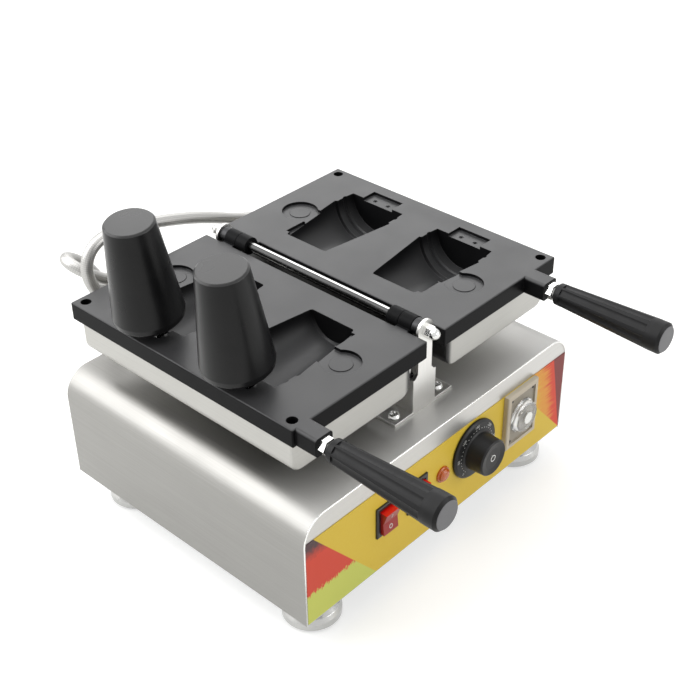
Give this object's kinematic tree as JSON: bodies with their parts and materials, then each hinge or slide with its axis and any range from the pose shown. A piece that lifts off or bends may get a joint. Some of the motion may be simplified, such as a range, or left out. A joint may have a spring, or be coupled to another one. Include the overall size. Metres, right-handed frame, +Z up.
{
  "type": "waffle cone maker",
  "caption": "Table-top waffle cup maker: hinged cast plates with half-cup cavities and tipping cores over a steel base with a dial, timer and rockers.",
  "frame": {"origin": "on the table under the middle of the base", "axes": "+X along the control panel to the right as seen from the front, -Y out of the control panel, +Z up"},
  "size_m": [0.3404, 0.4675, 0.3093],
  "materials": {
    "stainless_sheet": "brushed",
    "yellow_overlay": "satin printed film",
    "galvanised_sheet": "matt",
    "bright_steel": "polished",
    "non_stick_cast": "satin dark coating",
    "non_stick_core": "satin dark coating",
    "satin_pan": "satin",
    "bakelite": "satin",
    "black_plastic": "satin",
    "red_rocker": "gloss translucent",
    "amber_lens": "gloss translucent",
    "beige_case": "satin",
    "clear_knob": "gloss clear over silver",
    "ceramic": "matt",
    "heater_sheath": "oxidised",
    "black_steel": "blackened",
    "braid": "braided"
  },
  "bodies": {
    "base": {"base_cover": "stainless_sheet", "front_plate": "stainless_sheet", "panel_overlay": "yellow_overlay", "rear_plate": "galvanised_sheet", "base_bottom": "galvanised_sheet", "feet": "bright_steel", "hinge_bracket_front": "stainless_sheet", "hinge_bracket_rear": "stainless_sheet", "bracket_screws": "bright_steel", "stop_screws": "bright_steel", "stop_lock_nuts": "black_steel", "hinge_shaft": "bright_steel", "shaft_spacers": "bright_steel", "cap_nuts": "bright_steel", "power_switch_body": "black_plastic", "alarm_switch_body": "black_plastic", "indicator_lamp": "amber_lens", "thermostat_body": "black_steel", "timer_case": "beige_case", "terminal_block": "ceramic", "base_glands": "bright_steel", "mains_gland": "black_plastic", "conduit_left": "braid", "conduit_right": "braid"},
    "left_plate": {"mould_plate_left": "non_stick_cast", "pan_left": "satin_pan", "heater_left": "heater_sheath", "handle_stud_left": "bright_steel", "handle_nut_left": "bright_steel", "grip_left": "bakelite", "core_hinge_blocks": "non_stick_cast", "core_hinge_pins": "bright_steel", "core_block_screws": "bright_steel", "pan_gland_left": "bright_steel"},
    "right_plate": {"mould_plate_right": "non_stick_cast", "pan_right": "satin_pan", "heater_right": "heater_sheath", "handle_stud_right": "bright_steel", "handle_nut_right": "bright_steel", "grip_right": "bakelite", "pocket_screws": "bright_steel", "pan_gland_right": "bright_steel"},
    "core_front": {"core_front": "non_stick_core"},
    "core_rear": {"core_rear": "non_stick_core"},
    "power_rocker": {"power_rocker": "red_rocker"},
    "alarm_rocker": {"alarm_rocker": "red_rocker"},
    "temperature_dial": {"temperature_dial": "black_plastic", "thermostat_shaft": "bright_steel"},
    "timer_knob": {"timer_knob": "clear_knob"}
  },
  "joints": [
    {"name": "left_plate_hinge", "type": "hinge", "parent": "base", "child": "left_plate", "pos_m": [0, 0, 0.2089], "axis": [0, 1, 0], "range_deg": [0, 90]},
    {"name": "right_plate_hinge", "type": "hinge", "parent": "base", "child": "right_plate", "pos_m": [0, 0, 0.2089], "axis": [0, -1, 0], "range_deg": [0, 90]},
    {"name": "core_front_tilt", "type": "hinge", "parent": "left_plate", "child": "core_front", "pos_m": [-0.1395, -0.051, 0.2089], "axis": [0, 1, 0], "range_deg": [0, 96.1]},
    {"name": "core_rear_tilt", "type": "hinge", "parent": "left_plate", "child": "core_rear", "pos_m": [-0.1395, 0.051, 0.2089], "axis": [0, 1, 0], "range_deg": [0, 96.1]},
    {"name": "power_rocker_tilt", "type": "hinge", "parent": "base", "child": "power_rocker", "pos_m": [-0.077, -0.1442, 0.079], "axis": [-1, 0, 0], "range_deg": [0, 14]},
    {"name": "alarm_rocker_tilt", "type": "hinge", "parent": "base", "child": "alarm_rocker", "pos_m": [-0.039, -0.1442, 0.079], "axis": [-1, 0, 0], "range_deg": [0, 14]},
    {"name": "temperature_dial_turn", "type": "hinge", "parent": "base", "child": "temperature_dial", "pos_m": [0.0355, -0.15, 0.082], "axis": [0, -1, 0], "range_deg": [0, 270]},
    {"name": "timer_knob_turn", "type": "hinge", "parent": "base", "child": "timer_knob", "pos_m": [0.1, -0.15, 0.0825], "axis": [0, -1, 0], "range_deg": [0, 300]}
  ],
  "couplings": [
    {"joint": "core_front_tilt", "follows": "left_plate_hinge", "ratio": 1.0667},
    {"joint": "core_rear_tilt", "follows": "left_plate_hinge", "ratio": 1.0667}
  ]
}
